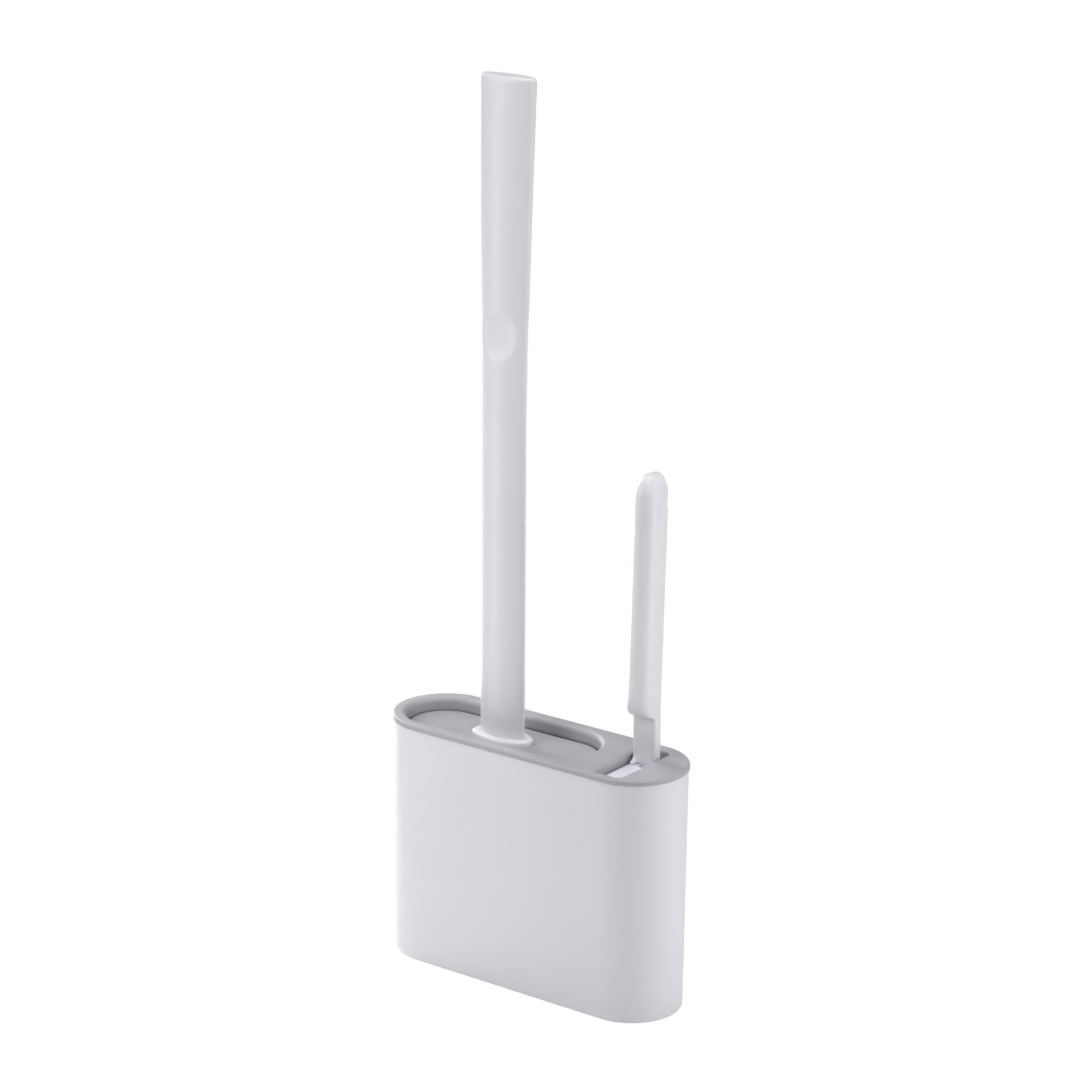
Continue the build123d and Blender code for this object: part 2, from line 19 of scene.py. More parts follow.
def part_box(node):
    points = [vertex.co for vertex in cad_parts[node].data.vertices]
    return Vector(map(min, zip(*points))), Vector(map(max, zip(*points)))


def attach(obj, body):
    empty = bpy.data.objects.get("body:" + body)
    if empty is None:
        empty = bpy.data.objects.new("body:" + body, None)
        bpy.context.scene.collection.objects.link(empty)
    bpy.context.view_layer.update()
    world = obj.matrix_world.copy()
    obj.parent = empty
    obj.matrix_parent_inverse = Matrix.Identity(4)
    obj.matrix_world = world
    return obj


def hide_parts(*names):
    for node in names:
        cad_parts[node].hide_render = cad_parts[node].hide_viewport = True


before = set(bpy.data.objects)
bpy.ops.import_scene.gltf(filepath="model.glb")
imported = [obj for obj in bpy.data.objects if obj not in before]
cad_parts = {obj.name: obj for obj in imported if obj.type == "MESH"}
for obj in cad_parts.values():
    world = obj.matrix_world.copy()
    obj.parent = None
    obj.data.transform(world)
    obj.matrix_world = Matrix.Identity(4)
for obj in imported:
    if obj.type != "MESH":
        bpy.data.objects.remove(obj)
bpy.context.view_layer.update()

LOG = logging.getLogger("toilet_brush_holder")
MM = 0.001
MERGE = 0.001 * MM  # vertices closer than this are the same
AIM_HEIGHT = 0.2  # the softboxes face the point this high above the holder's middle
GLOSS_DRIFT = 0.03  # how far the roughness wanders either side of its middle
LIGHT_DEPTH = 2 * MM  # how deep light gets into a see-through plastic
SHEEN_ROUGHNESS = 0.4
# Painted shade in seams and gaps: ambient occlusion darkens the base colour, down to this share at
# the deepest gap, from this many samples.
PAINTED_GAP_SHADE = 0.25  # share of its colour that the deepest gap keeps
PAINTED_SHADE_SAMPLES = 12


# ---------------------------------------------------------------- colour and node helpers
def linear(hex_colour: str) -> tuple[float, float, float, float]:
    """Turn an sRGB hex colour into the linear colour that a shader socket takes.

    Args:
        hex_colour: Six hex digits, such as "E7E6EC".

    Returns:
        Linear red, green and blue, and an alpha of 1.
    """
    channels = [int(hex_colour[i : i + 2], 16) / 255 for i in (0, 2, 4)]
    red, green, blue = (
        c / 12.92 if c <= 0.04045 else ((c + 0.055) / 1.055) ** 2.4 for c in channels
    )
    return red, green, blue, 1.0


def add_node(
    tree: bpy.types.NodeTree, kind: str, settings: dict | None = None, **inputs: object
) -> bpy.types.Node:
    """Add a node with its settings, input values and links.

    Args:
        tree: The node tree that gets the node.
        kind: The node's type name.
        settings: Properties of the node itself.
        **inputs: Values or output sockets by input name, with _ for each space.

    Returns:
        The new node.
    """
    node = tree.nodes.new(kind)
    for name, value in (settings or {}).items():
        setattr(node, name, value)
    for name, value in inputs.items():
        socket = node.inputs[name.replace("_", " ")]
        if isinstance(value, bpy.types.NodeSocket):
            tree.links.new(value, socket)
        else:
            socket.default_value = value
    return node


# ---------------------------------------------------------------- finishes
class Surface(Enum):
    """How a mould leaves a plastic's surface."""

    SATIN = "satin"
    SPARK = "spark eroded"
    RUBBERY = "rubbery"
    DRAWN = "drawn filament"


@dataclass(frozen=True)
class Finish:
    """One plastic and the way its surface was made.

    Attributes:
        name: The material's name.
        colour: Its main colour, sRGB hex.
        shade: The colour that its faint mottle drifts to, sRGB hex.
        roughness: Roughness at the middle of its range.
        ior: Index of refraction.
        surface: How the surface was made.
        grain_mm: Width of the surface grain.
        relief_mm: Height of the surface grain.
        mottle_mm: Width of the patches of slightly different colour.
        see_through: Share of light scattered under the surface.
        sheen: Weight of a soft sheen.
        painted_shade_mm: How close another wall must be for a seam or gap to get painted shade in
            its colour, or 0.
    """

    name: str
    colour: str
    shade: str
    roughness: float
    ior: float
    surface: Surface
    grain_mm: float
    relief_mm: float
    mottle_mm: float
    see_through: float = 0.0
    sheen: float = 0.0
    painted_shade_mm: float = 0.0

    def material(self) -> bpy.types.Material:
        """Return the finish's material, made once."""
        made = bpy.data.materials.get(self.name)
        return made if made else self._make()

    def _make(self) -> bpy.types.Material:
        """Build the node material.

        Returns:
            The new material.
        """
        made = bpy.data.materials.new(self.name)
        made.use_nodes = True
        tree = made.node_tree
        tree.nodes.clear()
        where = add_node(tree, "ShaderNodeTexCoord").outputs["Object"]
        # Pigment never mixes quite evenly, so the colour drifts over a few centimetres.
        mottle = add_node(
            tree,
            "ShaderNodeTexNoise",
            Vector=where,
            Scale=1 / (self.mottle_mm * MM),
            Detail=2.0,
            Roughness=0.5,
        )
        colour = add_node(tree, "ShaderNodeMix", {"data_type": "RGBA"})
        tree.links.new(mottle.outputs["Fac"], colour.inputs["Factor"])
        colour.inputs[6].default_value = linear(self.colour)
        colour.inputs[7].default_value = linear(self.shade)
        # The gloss wanders with the mould's polish.
        polish = add_node(
            tree,
            "ShaderNodeMapRange",
            Value=mottle.outputs["Fac"],
            From_Min=0.3,
            From_Max=0.7,
            To_Min=self.roughness - GLOSS_DRIFT,
            To_Max=self.roughness + GLOSS_DRIFT,
        )
        normal = self._relief(tree, where)
        paint = colour.outputs[2]
        # Painted shade: seams and gaps where walls shut out light get a darker base colour.
        if self.painted_shade_mm:
            paint = self._paint_gap_shade(tree, paint)
        shader = add_node(
            tree,
            "ShaderNodeBsdfPrincipled",
            Base_Color=paint,
            Roughness=polish.outputs["Result"],
            IOR=self.ior,
            Normal=normal,
        )
        if self.see_through:
            shader.inputs["Subsurface Weight"].default_value = self.see_through
            shader.inputs["Subsurface Radius"].default_value = (1.0, 0.9, 0.8)
            shader.inputs["Subsurface Scale"].default_value = LIGHT_DEPTH
        if self.sheen:
            shader.inputs["Sheen Weight"].default_value = self.sheen
            shader.inputs["Sheen Roughness"].default_value = SHEEN_ROUGHNESS
        add_node(tree, "ShaderNodeOutputMaterial", Surface=shader.outputs["BSDF"])
        return made

    def _paint_gap_shade(
        self, tree: bpy.types.NodeTree, paint: bpy.types.NodeSocket
    ) -> bpy.types.NodeSocket:
        """Paint shade into the colour in seams and narrow gaps, by ambient occlusion.

        Args:
            tree: The material's node tree.
            paint: The colour on an open surface.

        Returns:
            The colour with painted shade in its seams and gaps.
        """
        open_sky = add_node(
            tree,
            "ShaderNodeAmbientOcclusion",
            {"samples": PAINTED_SHADE_SAMPLES},
            Distance=self.painted_shade_mm * MM,
        )
        shade = add_node(
            tree,
            "ShaderNodeMapRange",
            Value=open_sky.outputs["AO"],
            From_Min=0.25,
            From_Max=0.75,
            To_Min=PAINTED_GAP_SHADE,
            To_Max=1.0,
        )
        darkened = add_node(tree, "ShaderNodeVectorMath", {"operation": "SCALE"})
        tree.links.new(paint, darkened.inputs[0])
        tree.links.new(shade.outputs["Result"], darkened.inputs["Scale"])
        return darkened.outputs["Vector"]

    def _relief(
        self, tree: bpy.types.NodeTree, where: bpy.types.NodeSocket
    ) -> bpy.types.NodeSocket:
        """Add the surface grain that its making leaves.

        Args:
            tree: The material's node tree.
            where: The Object coordinates.

        Returns:
            The bumped normal.
        """
        if self.surface is Surface.DRAWN:
            # A drawn filament has faint ridges along it, so the grain is stretched in Z.
            stretched = add_node(
                tree, "ShaderNodeMapping", Vector=where, Scale=(1.0, 1.0, 0.05)
            )
            where = stretched.outputs["Vector"]
        if self.surface is Surface.SPARK:
            grain = add_node(
                tree,
                "ShaderNodeTexVoronoi",
                Vector=where,
                Scale=1 / (self.grain_mm * MM),
                Randomness=1.0,
            ).outputs["Distance"]
        else:
            grain = add_node(
                tree,
                "ShaderNodeTexNoise",
                Vector=where,
                Scale=1 / (self.grain_mm * MM),
                Detail=3.0,
                Roughness=0.6,
            ).outputs["Fac"]
        bump = add_node(
            tree,
            "ShaderNodeBump",
            Strength=1.0,
            Distance=self.relief_mm * MM,
            Height=grain,
        )
        return bump.outputs["Normal"]


# Polypropylene from a finely blasted mould: a soft even satin that spreads highlights wide.
SHELL_WHITE = Finish(
    "satin_polypropylene_shell_white",
    colour="E8E7EC",
    shade="E4E3E9",
    roughness=0.42,
    ior=1.49,
    surface=Surface.SATIN,
    grain_mm=0.9,
    relief_mm=0.006,
    mottle_mm=45.0,
    # Seams and gaps within this distance get painted shade.
    painted_shade_mm=1.2,
)
# ABS from a better polished mould, so it is slightly glossier than the shell.
HANDLE_WHITE = Finish(
    "moulded_abs_handle_white",
    colour="E9E8EC",
    shade="E6E5EA",
    roughness=0.36,
    ior=1.53,
    surface=Surface.SATIN,
    grain_mm=1.1,
    relief_mm=0.005,
    mottle_mm=60.0,
)
# The collar is the brightest white, and its small round edge carries a clear highlight.
COLLAR_WHITE = Finish(
    "moulded_abs_collar_white",
    colour="EDECF0",
    shade="EAE9EE",
    roughness=0.34,
    ior=1.53,
    surface=Surface.SATIN,
    grain_mm=0.8,
    relief_mm=0.004,
    mottle_mm=15.0,
)
BLOCK_WHITE = Finish(
    "moulded_polypropylene_block_white",
    colour="ECEBF3",
    shade="E8E7F0",
    roughness=0.38,
    ior=1.49,
    surface=Surface.SATIN,
    grain_mm=0.8,
    relief_mm=0.004,
    mottle_mm=15.0,
)
CORE_WHITE = Finish(
    "moulded_polypropylene_core_white",
    colour="E6E5EA",
    shade="E2E1E7",
    roughness=0.45,
    ior=1.49,
    surface=Surface.SATIN,
    grain_mm=0.9,
    relief_mm=0.006,
    mottle_mm=20.0,
)
# Grey polypropylene with a spark-eroded grain. The real grain is about 0.1 mm wide, too fine
# to show, so it is drawn 0.5 mm wide.
FRAME_GREY = Finish(
    "spark_grained_polypropylene_frame_grey",
    colour="B4B3B7",
    shade="B0AFB4",
    roughness=0.46,
    ior=1.49,
    surface=Surface.SPARK,
    grain_mm=0.5,
    relief_mm=0.012,
    mottle_mm=30.0,
    # Seams and gaps within this distance get painted shade.
    painted_shade_mm=2.0,
)
LID_GREY = Finish(
    "spark_grained_polypropylene_lid_grey",
    colour="ABAAAF",
    shade="A7A6AB",
    roughness=0.50,
    ior=1.49,
    surface=Surface.SPARK,
    grain_mm=0.5,
    relief_mm=0.014,
    mottle_mm=30.0,
    # Seams and gaps within this distance get painted shade.
    painted_shade_mm=1.2,
)
TRAY_GREY = Finish(
    "satin_polypropylene_tray_grey",
    colour="A9A9AD",
    shade="A3A3A8",
    roughness=0.44,
    ior=1.49,
    surface=Surface.SATIN,
    grain_mm=0.9,
    relief_mm=0.006,
    mottle_mm=25.0,
)
# Thermoplastic rubber: matt, slightly see-through, with a faint bloom.
TPR_WHITE = Finish(
    "soft_tpr_white",
    colour="E4E3E6",
    shade="DEDDE1",
    roughness=0.58,
    ior=1.50,
    surface=Surface.RUBBERY,
    grain_mm=0.7,
    relief_mm=0.010,
    mottle_mm=12.0,
    see_through=0.25,
    sheen=0.15,
)
# Nylon filaments are drawn, so they are clear and shiny along their length.
NYLON_WHITE = Finish(
    "drawn_nylon_white",
    colour="EDEDF0",
    shade="E4E4E9",
    roughness=0.28,
    ior=1.53,
    surface=Surface.DRAWN,
    grain_mm=0.3,
    relief_mm=0.004,
    mottle_mm=6.0,
    see_through=0.2,
)
RUBBER_GREY = Finish(
    "moulded_silicone_feet_grey",
    colour="8E8E92",
    shade="86868B",
    roughness=0.62,
    ior=1.43,
    surface=Surface.RUBBERY,
    grain_mm=0.6,
    relief_mm=0.012,
    mottle_mm=10.0,
    sheen=0.1,
)


def dress(node: str, finish: Finish, slot: str) -> None:
    """Give a CAD node its finish.

    Args:
        node: The CAD node's name.
        finish: The finish for all of it.
        slot: The record's material slot. It is not used.
    """
    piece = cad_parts[node]
    piece.data.materials.clear()
    piece.data.materials.append(finish.material())
    LOG.info("dressed %s in %s", node, finish.name)


def dress_all(coats: dict[str, tuple[Finish, str]]) -> None:
    """Give several CAD nodes their finishes.

    Args:
        coats: Finish and material slot of each CAD node.
    """
    for node, (finish, slot) in coats.items():
        dress(node, finish, slot)


def settle(
    shape: bmesh.types.BMesh, name: str, finish: Finish, body: str, node: str
) -> bpy.types.Object:
    """Turn a finished bmesh into a piece that rides on a body in place of a CAD node.

    Args:
        shape: The geometry, already in place. It is freed here.
        name: The piece's name.
        finish: The finish for all of it.
        body: The CAD body that carries it.
        node: The CAD node that it stands for.

    Returns:
        The new object.
    """
    bmesh.ops.recalc_face_normals(shape, faces=shape.faces)
    for face in shape.faces:
        face.smooth = True
    mesh = bpy.data.meshes.new(name)
    shape.to_mesh(mesh)
    shape.free()
    mesh.materials.append(finish.material())
    piece = bpy.data.objects.new(name, mesh)
    bpy.context.scene.collection.objects.link(piece)
    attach(piece, body)
    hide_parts(node)
    LOG.info("built %s: %d faces, riding on %s", name, len(mesh.polygons), body)
    return piece


def melt(node: str, voxel: float, regions: list[tuple[float, float, int]]) -> bmesh.types.BMesh:
    """Copy a CAD node with its sharp edges melted, as a mould leaves them.

    Args:
        node: The CAD node's name.
        voxel: Grid size of the copy. No finer detail is kept.
        regions: Lowest and highest z of each region and how many times it is smoothed.

    Returns:
        The softened geometry, in place.
    """
    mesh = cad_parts[node].data.copy()
    shape = bmesh.new()
    shape.from_mesh(mesh)
    bmesh.ops.remove_doubles(shape, verts=shape.verts, dist=MERGE)
    shape.to_mesh(mesh)
    shape.free()
    blank = bpy.data.objects.new("blank", mesh)
    bpy.context.scene.collection.objects.link(blank)
    grid = blank.modifiers.new("grid", "REMESH")
    grid.mode = "VOXEL"
    grid.voxel_size = voxel
    solid = blank.evaluated_get(bpy.context.evaluated_depsgraph_get())
    melted = bpy.data.meshes.new_from_object(solid)
    shape = bmesh.new()
    shape.from_mesh(melted)
    bpy.data.objects.remove(blank)
    bpy.data.meshes.remove(mesh)
    bpy.data.meshes.remove(melted)
    for low, high, rounds in regions:
        verts = [v for v in shape.verts if low <= v.co.z <= high]
        for _ in range(rounds):
            bmesh.ops.smooth_vert(
                shape, verts=verts, factor=0.5, use_axis_x=True, use_axis_y=True, use_axis_z=True
            )
    return shape


def plant(
    template: bmesh.types.BMesh,
    places: list[Matrix],
    bend: Callable[[Vector, int], Vector] | None = None,
) -> bmesh.types.BMesh:
    """Copy a template shape to many places in one bmesh.

    Args:
        template: The shape to repeat, standing on the origin along +Z. It is freed here.
        places: Where each copy goes.
        bend: Moves a vertex of copy number n before it is placed.

    Returns:
        The joined geometry.
    """
    mesh = bpy.data.meshes.new("template")
    template.to_mesh(mesh)
    template.free()
    field_shape = bmesh.new()
    for number, place in enumerate(places):
        before = len(field_shape.verts)
        field_shape.from_mesh(mesh)
        field_shape.verts.ensure_lookup_table()
        fresh = field_shape.verts[before:]
        if bend:
            for vert in fresh:
                vert.co = bend(vert.co.copy(), number)
        bmesh.ops.transform(field_shape, matrix=place, verts=fresh)
    bpy.data.meshes.remove(mesh)
    return field_shape


# ---------------------------------------------------------------- holder
@dataclass
class Holder:
    """The shell with its feet, drip tray and drain rack.

    Attributes:
        coats: Finish and material slot of each CAD node.
    """

    coats: dict[str, tuple[Finish, str]] = field(
        default_factory=lambda: {
            "holder_shell": (SHELL_WHITE, "shell_white"),
            "rubber_feet": (RUBBER_GREY, "rubber_grey"),
            "drip_tray": (TRAY_GREY, "tray_grey"),
            "drain_rack": (TRAY_GREY, "tray_grey"),
        }
    )

    def build(self) -> None:
        """Dress the holder's CAD nodes."""
        dress_all(self.coats)


@dataclass
class TopFrame:
    """The grey frame in the shell's mouth and the pocket under its slot.

    Attributes:
        coats: Finish and material slot of each CAD node.
    """

    coats: dict[str, tuple[Finish, str]] = field(
        default_factory=lambda: {
            "top_frame": (FRAME_GREY, "frame_grey"),
            "brush_pocket": (FRAME_GREY, "frame_grey"),
        }
    )

    def build(self) -> None:
        """Dress the frame's CAD nodes."""
        dress_all(self.coats)


# ---------------------------------------------------------------- large brush
@dataclass
class LargeBrush:
    """The large brush: handle, lid, collar, clip and flat rubber-bristled head.

    Attributes:
        body: The CAD body that carries it.
        pitch: Distance between bristles along a row.
        face_grid: Columns and rows of bristles on each face.
        edge_counts: Bristles along the head's bottom and along each side.
        root: Radius of a bristle at its root.
        foot_flare: How much wider a bristle is inside the cover.
        foot_rise: Height at which it reaches its root's radius.
        tip: Radius of a bristle just under its round tip.
        tip_shoulder: Radius and depth of the tip's shoulder, as shares of the tip's radius.
        sink: How far a bristle's root runs into the cover.
        lean_deg: The most that a bristle leans from upright.
        ring_steps: Sides of a bristle.
        thumb: Lowest and highest z of the thumb rest.
        voxel: Grid size of the melted handle.
        soft_rounds: How many times the whole handle is smoothed.
        thumb_rounds: How many more times the thumb rest is.
        coats: Finish and material slot of each CAD node that keeps its shape.
    """

    body: str = "main_brush"
    pitch: float = 7.2 * MM
    face_grid: tuple[int, int] = (10, 9)
    edge_counts: tuple[int, int] = (7, 6)
    root: float = 1.25 * MM
    foot_flare: float = 1.15
    foot_rise: float = 0.3 * MM
    tip: float = 0.72 * MM
    tip_shoulder: tuple[float, float] = (0.72, 0.3)
    sink: float = 0.4 * MM
    lean_deg: float = 2.0
    ring_steps: int = 9
    thumb: tuple[float, float] = (295 * MM, 320 * MM)
    voxel: float = 0.6 * MM
    soft_rounds: int = 9
    thumb_rounds: int = 14
    coats: dict[str, tuple[Finish, str]] = field(
        default_factory=lambda: {
            "main_lid": (LID_GREY, "lid_grey"),
            "handle_collar": (COLLAR_WHITE, "collar_white"),
            "lid_clip": (COLLAR_WHITE, "collar_white"),
            "head_core": (CORE_WHITE, "core_white"),
            "head_cover": (TPR_WHITE, "tpr_white"),
        }
    )

    def build(self) -> None:
        """Melt the handle's edges, dress the other CAD nodes and build the bristles."""
        self._handle()
        dress_all(self.coats)
        self._face_bristles("front_bristles", -1)
        self._face_bristles("back_bristles", 1)
        self._edge_bristles()

    def _handle(self) -> None:
        """Melt the handle's edges, most round its thumb rest."""
        node = "main_handle"
        low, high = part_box(node)
        regions = [(low.z, high.z, self.soft_rounds), (*self.thumb, self.thumb_rounds)]
        shape = melt(node, self.voxel, regions)
        settle(shape, "moulded_main_handle", HANDLE_WHITE, self.body, node)

    def _bristle(self, length: float) -> bmesh.types.BMesh:
        """Spin one tapered bristle with a round tip.

        Args:
            length: From the root's plane to the tip.

        Returns:
            The bristle, standing on the origin along +Z.
        """
        shape = bmesh.new()
        shoulder_width, shoulder_depth = self.tip_shoulder
        profile = [
            (self.root * self.foot_flare, -self.sink),
            (self.root, self.foot_rise),
            (self.tip, length - self.tip),
            (self.tip * shoulder_width, length - self.tip * shoulder_depth),
            (0.0, length),
        ]
        verts = [shape.verts.new((x, 0.0, z)) for x, z in profile]
        edges = [shape.edges.new(pair) for pair in zip(verts, verts[1:])]
        bmesh.ops.spin(
            shape,
            geom=verts + edges,
            cent=(0, 0, 0),
            axis=(0, 0, 1),
            angle=math.tau,
            steps=self.ring_steps,
            use_merge=True,
        )
        bmesh.ops.remove_doubles(shape, verts=shape.verts, dist=MERGE)
        bmesh.ops.holes_fill(shape, edges=shape.edges, sides=0)
        return shape

    def _grid(self, columns: int, rows: int) -> list[tuple[float, float]]:
        """Lay out a grid of points centred on zero, one pitch apart.

        Args:
            columns: Points across.
            rows: Points along.

        Returns:
            The points, column by column.
        """
        return [
            ((c - (columns - 1) / 2) * self.pitch, (r - (rows - 1) / 2) * self.pitch)
            for c in range(columns)
            for r in range(rows)
        ]

    def _face_bristles(self, node: str, side: int) -> None:
        """Build the bristles of one face, two grids offset by half a pitch.

        Args:
            node: The CAD node that they replace.
            side: -1 for the front and 1 for the back.
        """
        low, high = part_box(node)
        columns, rows = self.face_grid
        centre = (low + high) / 2
        foot_y = high.y if side < 0 else low.y
        length = high.y - low.y
        draw = random.Random(11 + side)
        upright = Quaternion((1, 0, 0), math.radians(-90 * side))
        places = []
        for u, v in self._grid(columns, rows) + self._grid(columns - 1, rows - 1):
            lean = Quaternion(
                (math.cos(a := draw.uniform(0, math.tau)), 0, math.sin(a)),
                math.radians(draw.uniform(0, self.lean_deg)),
            )
            spot = Vector((centre.x + u, foot_y, centre.z + v))
            places.append(Matrix.Translation(spot) @ (lean @ upright).to_matrix().to_4x4())
        shape = plant(self._bristle(length), places)
        settle(shape, f"tpr_{node}", TPR_WHITE, self.body, node)

    def _edge_bristles(self) -> None:
        """Build the short bristles round the head's bottom and sides."""
        node = "edge_bristles"
        low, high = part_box(node)
        head_low, head_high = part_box("head_cover")
        middle_x = (head_low.x + head_high.x) / 2
        middle_z = (head_low.z + head_high.z) / 2
        length = head_low.z - low.z
        bottom_count, side_count = self.edge_counts
        draw = random.Random(23)
        spots = [
            (Vector((middle_x + u, 0, head_low.z)), Vector((0, 0, -1)))
            for u, _ in self._grid(bottom_count, 1)
        ]
        for sign, edge_x in ((-1, head_low.x), (1, head_high.x)):
            spots += [
                (Vector((edge_x, 0, middle_z + u)), Vector((sign, 0, 0)))
                for u, _ in self._grid(side_count, 1)
            ]
        places = []
        for spot, way in spots:
            lean = Quaternion((0, 1, 0), math.radians(draw.uniform(-1, 1)))
            turn = lean @ Vector((0, 0, 1)).rotation_difference(way)
            places.append(Matrix.Translation(spot) @ turn.to_matrix().to_4x4())
        shape = plant(self._bristle(length), places)
        settle(shape, "tpr_edge_bristles", TPR_WHITE, self.body, node)


# ---------------------------------------------------------------- small brush
@dataclass
class SmallBrush:
    """The small crevice brush: handle, tuft block and nylon tufts.

    Attributes:
        body: The CAD body that carries it.
        tufts: Tufts across and along the block.
        pitch: Distance between tufts across and along the block.
        bundle: Radius of a tuft at its root.
        filaments: Number of filaments in a tuft.
        thickness: Radius of one filament.
        sink: How far the filaments run up into the block.
        splay: How far the outermost filaments spread at their tips.
        jitter: How far a filament's tip strays from its place.
        shortest: Length of the shortest filament, as a share of the longest.
        stretches: Stretches that a filament can bend between.
        voxel: Grid size of the melted handle.
        soft_rounds: How many times the whole handle is smoothed.
        end_rounds: How many more times its top and the grip's lower end are.
        crown: Height of the round top.
        toe: Lowest and highest z of the grip's lower end.
    """

    body: str = "small_brush"
    tufts: tuple[int, int] = (3, 8)
    pitch: tuple[float, float] = (3.1 * MM, 3.7 * MM)
    bundle: float = 1.0 * MM
    filaments: int = 30
    thickness: float = 0.13 * MM
    sink: float = 1.0 * MM
    splay: float = 0.45 * MM
    jitter: float = 0.1 * MM
    shortest: float = 0.97
    stretches: int = 4
    voxel: float = 0.45 * MM
    soft_rounds: int = 14
    end_rounds: int = 12
    crown: float = 14 * MM
    toe: tuple[float, float] = (139 * MM, 147 * MM)

    def build(self) -> None:
        """Dress the block, melt the handle's edges and build the tufts."""
        dress("small_block", BLOCK_WHITE, "block_white")
        self._handle()
        self._tufts()

    def _handle(self) -> None:
        """Melt the handle's edges, most at the round top and at the grip's lower end."""
        node = "small_handle"
        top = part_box(node)[1].z
        everywhere = (0.0, top, self.soft_rounds)
        crown = (top - self.crown, top, self.end_rounds)
        toe = (*self.toe, self.end_rounds)
        shape = melt(node, self.voxel, [everywhere, crown, toe])
        settle(shape, "moulded_small_handle", HANDLE_WHITE, self.body, node)

    def _filament(self, length: float) -> bmesh.types.BMesh:
        """Extrude one thin filament in stretches, so that it can bend.

        Args:
            length: From the block's underside to the tip.

        Returns:
            The filament, standing on the origin along +Z.
        """
        shape = bmesh.new()
        ring = bmesh.ops.create_circle(
            shape, cap_ends=True, radius=self.thickness, segments=5
        )
        bmesh.ops.translate(shape, verts=ring["verts"], vec=(0, 0, -self.sink))
        cap = shape.faces[:]
        for stretch in range(self.stretches):
            pushed = bmesh.ops.extrude_face_region(shape, geom=cap)
            fresh = [g for g in pushed["geom"] if isinstance(g, bmesh.types.BMVert)]
            if stretch:
                bmesh.ops.delete(shape, geom=cap, context="FACES_ONLY")
            cap = [g for g in pushed["geom"] if isinstance(g, bmesh.types.BMFace)]
            rise = (length + self.sink) / self.stretches
            bmesh.ops.translate(shape, verts=fresh, vec=(0, 0, rise))
        return shape

    def _tufts(self) -> None:
        """Build all filaments of all tufts, bent a little outwards."""
        node = "small_bristles"
        low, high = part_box(node)
        centre = (low + high) / 2
        length = high.z - low.z
        draw = random.Random(37)
        places, outward = [], []
        across, along = self.tufts
        for i in range(across):
            for j in range(along):
                x = centre.x + (i - (across - 1) / 2) * self.pitch[0]
                y = centre.y + (j - (along - 1) / 2) * self.pitch[1]
                for n in range(self.filaments):
                    reach = self.bundle * math.sqrt((n + 0.5) / self.filaments)
                    turn = n * math.pi * (3 - math.sqrt(5))
                    spot = Vector((x + reach * math.cos(turn), y + reach * math.sin(turn), high.z))
                    flip = Matrix.Rotation(math.pi, 4, "X")
                    places.append(Matrix.Translation(spot) @ flip)
                    spread = self.splay * reach / self.bundle
                    outward.append(
                        (
                            spread * math.cos(turn) + draw.uniform(-self.jitter, self.jitter),
                            -spread * math.sin(turn) + draw.uniform(-self.jitter, self.jitter),
                            draw.uniform(self.shortest, 1.0),
                        )
                    )

        def bend(point: Vector, number: int) -> Vector:
            """Lean a filament's vertex outwards, more towards its tip.

            Args:
                point: The vertex on the upright filament.
                number: The filament's number.

            Returns:
                Where the vertex goes.
            """
            share = max(0.0, point.z / length) ** 2
            push_x, push_y, cut = outward[number]
            return Vector(
                (point.x + push_x * share, point.y + push_y * share, point.z * cut)
            )

        shape = plant(self._filament(length), places, bend)
        settle(shape, "nylon_tufts", NYLON_WHITE, self.body, node)


# ---------------------------------------------------------------- studio
@dataclass(frozen=True)
class Softbox:
    """One soft area light.

    Attributes:
        name: The light's name.
        bearing_deg: Its direction seen from above, from the front towards the right.
        distance: How far it stands from the holder's middle, along the floor.
        height: Height of its centre.
        size: Its width and height.
        watts: Its power.
    """

    name: str
    bearing_deg: float
    distance: float
    height: float
    size: tuple[float, float]
    watts: float

    def hang(self) -> None:
        """Add the light to the scene."""
        lamp = bpy.data.lights.new(self.name, "AREA")
        lamp.shape = "RECTANGLE"
        lamp.size, lamp.size_y = self.size
        lamp.energy = self.watts
        holder = bpy.data.objects.new(self.name, lamp)
        bpy.context.scene.collection.objects.link(holder)
        turn = math.radians(self.bearing_deg)
        holder.location = (
            self.distance * math.sin(turn), -self.distance * math.cos(turn), self.height
        )
        way = Vector((0, 0, AIM_HEIGHT)) - holder.location
        holder.rotation_mode = "QUATERNION"
        holder.rotation_quaternion = way.to_track_quat("-Z", "Y")
        holder.visible_camera = False


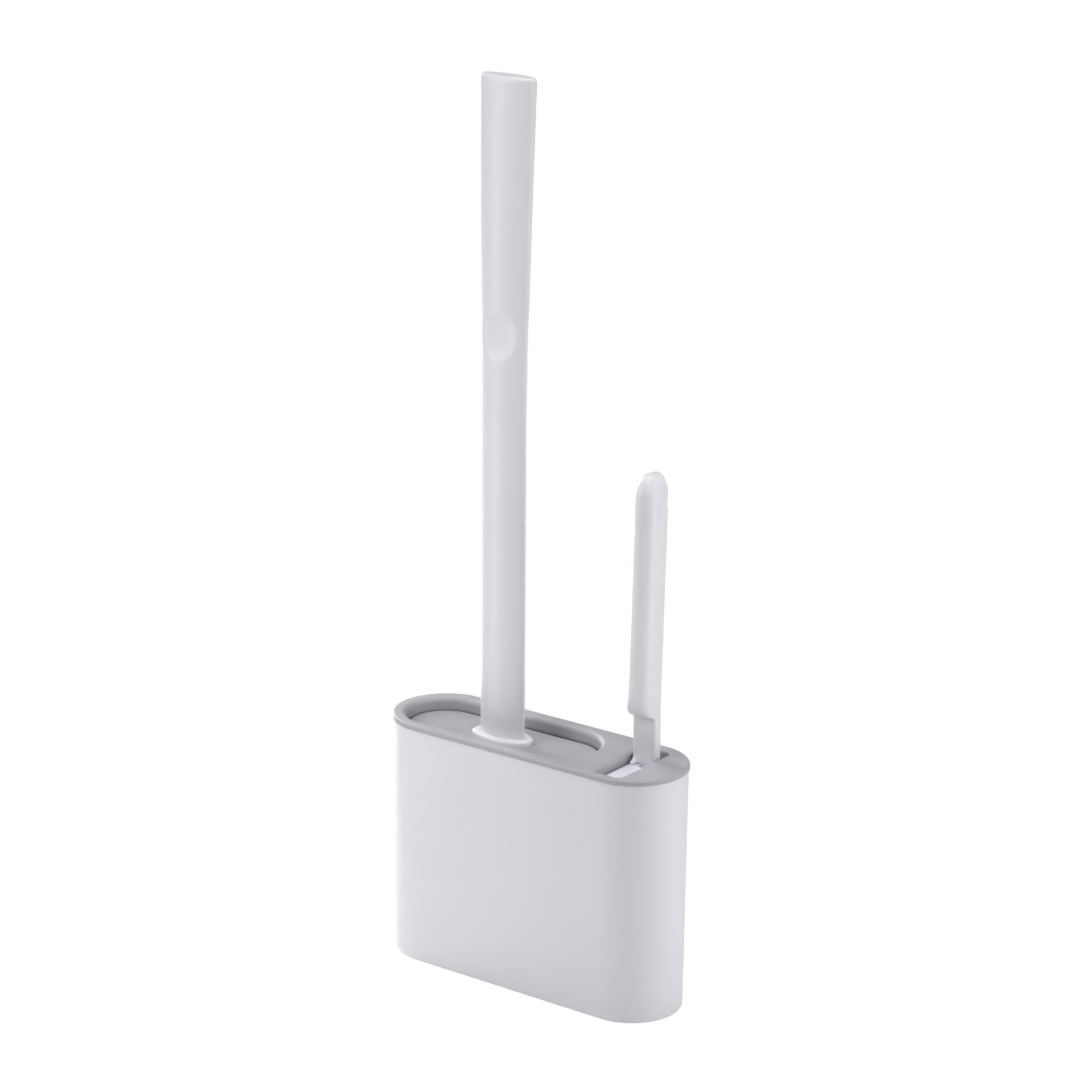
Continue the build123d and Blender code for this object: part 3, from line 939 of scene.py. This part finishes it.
@dataclass
class Studio:
    """Floor, backdrop light, softboxes and camera.

    Attributes:
        floor_size: Side of the square floor.
        softboxes: The area lights.
        camera_place: Where the camera stands.
        camera_azimuth_deg: Its direction from the holder, from the front towards the right.
        camera_elevation_deg: How far it looks down.
        camera_roll_deg: How far it is rolled.
        camera_lens_mm: Its focal length.
    """

    floor_size: float = 12.0
    softboxes: list[Softbox] = field(
        default_factory=lambda: [
            Softbox("strip_back_left", -110, 0.40, 0.20, (0.15, 0.6), 2.0),
            Softbox("strip_front_left", -45, 0.40, 0.20, (0.15, 0.6), 0.64),
            Softbox("strip_right", 100, 0.45, 0.20, (0.15, 0.6), 0.64),
            Softbox("high_left", -30, 0.60, 0.55, (0.3, 0.3), 1.20),
            Softbox("high_right", 60, 0.60, 0.55, (0.3, 0.3), 0.98),
            Softbox("back_right", 120, 1.10, 0.35, (0.5, 0.9), 2.2),
            Softbox("rear_top", 170, 0.82, 1.1, (0.8, 0.6), 0.53),
            Softbox("overhead", 0, 0.0, 1.3, (1.0, 1.0), 9.0),
        ]
    )
    camera_place: tuple[float, float, float] = (0.9423, -1.2488, 0.6974)
    camera_azimuth_deg: float = 37.03
    camera_elevation_deg: float = 17.15
    camera_roll_deg: float = 0.37
    camera_lens_mm: float = 120.0

    def build(self) -> None:
        """Build the studio."""
        view = bpy.context.scene.view_settings
        view.view_transform = "Standard"
        view.look = "None"
        self._room()
        self._floor()
        for softbox in self.softboxes:
            softbox.hang()
        self._camera()
        LOG.info("studio: %d softboxes", len(self.softboxes))

    def _room(self) -> None:
        """Make the backdrop plain white to the camera. Only the softboxes cast light."""
        world = bpy.data.worlds.new("white_room")
        bpy.context.scene.world = world
        world.use_nodes = True
        tree = world.node_tree
        tree.nodes.clear()
        backdrop = add_node(tree, "ShaderNodeBackground", Color=(1, 1, 1, 1), Strength=1.0)
        add_node(tree, "ShaderNodeOutputWorld", Surface=backdrop.outputs[0])
        rays = world.cycles_visibility
        rays.camera = True
        rays.diffuse = rays.glossy = rays.transmission = rays.scatter = False

    def _plane(self, name: str, **shader_inputs: object) -> bpy.types.Object:
        """Lay a square plane at floor level.

        Args:
            name: Its name, and its material's.
            **shader_inputs: Input values of its Principled shader.

        Returns:
            The plane.
        """
        shape = bmesh.new()
        bmesh.ops.create_grid(
            shape, x_segments=1, y_segments=1, size=self.floor_size / 2
        )
        mesh = bpy.data.meshes.new(name)
        shape.to_mesh(mesh)
        shape.free()
        made = bpy.data.materials.new(name)
        made.use_nodes = True
        tree = made.node_tree
        tree.nodes.clear()
        shader = add_node(
            tree, "ShaderNodeBsdfPrincipled", Specular_IOR_Level=0.0, **shader_inputs
        )
        add_node(tree, "ShaderNodeOutputMaterial", Surface=shader.outputs["BSDF"])
        mesh.materials.append(made)
        plane = bpy.data.objects.new(name, mesh)
        bpy.context.scene.collection.objects.link(plane)
        return plane

    def _floor(self) -> None:
        """Lay a white floor that bounces light, under a lit one that the camera sees."""
        bounce = self._plane("matt_white_paper_floor", Base_Color=linear("F2F2F2"))
        bounce.visible_camera = False
        lit = self._plane(
            "lit_white_acrylic_table",
            Base_Color=(0, 0, 0, 1),
            Emission_Color=(1, 1, 1, 1),
            Emission_Strength=1.0,
        )
        lit.visible_diffuse = lit.visible_glossy = lit.visible_shadow = False
        lit.visible_transmission = lit.visible_volume_scatter = False

    def _camera(self) -> None:
        """Place the camera."""
        lens = bpy.data.cameras.new("camera")
        lens.lens = self.camera_lens_mm
        lens.sensor_width = 36.0
        lens.clip_start, lens.clip_end = 0.05, 50.0
        camera = bpy.data.objects.new("camera", lens)
        bpy.context.scene.collection.objects.link(camera)
        turn, rise = map(math.radians, (self.camera_azimuth_deg, self.camera_elevation_deg))
        back = Vector(
            (math.sin(turn) * math.cos(rise), -math.cos(turn) * math.cos(rise), math.sin(rise))
        )
        roll = Quaternion((0, 0, 1), math.radians(self.camera_roll_deg))
        camera.rotation_mode = "QUATERNION"
        camera.rotation_quaternion = (-back).to_track_quat("-Z", "Y") @ roll
        camera.location = self.camera_place
        bpy.context.scene.camera = camera


def main() -> None:
    """Build the studio and each sub-assembly in order."""
    logging.basicConfig(level=logging.INFO, format="%(message)s")
    for part in (Studio(), Holder(), TopFrame(), LargeBrush(), SmallBrush()):
        LOG.info("%s", type(part).__name__)
        part.build()


if __name__ == "__main__":
    main()
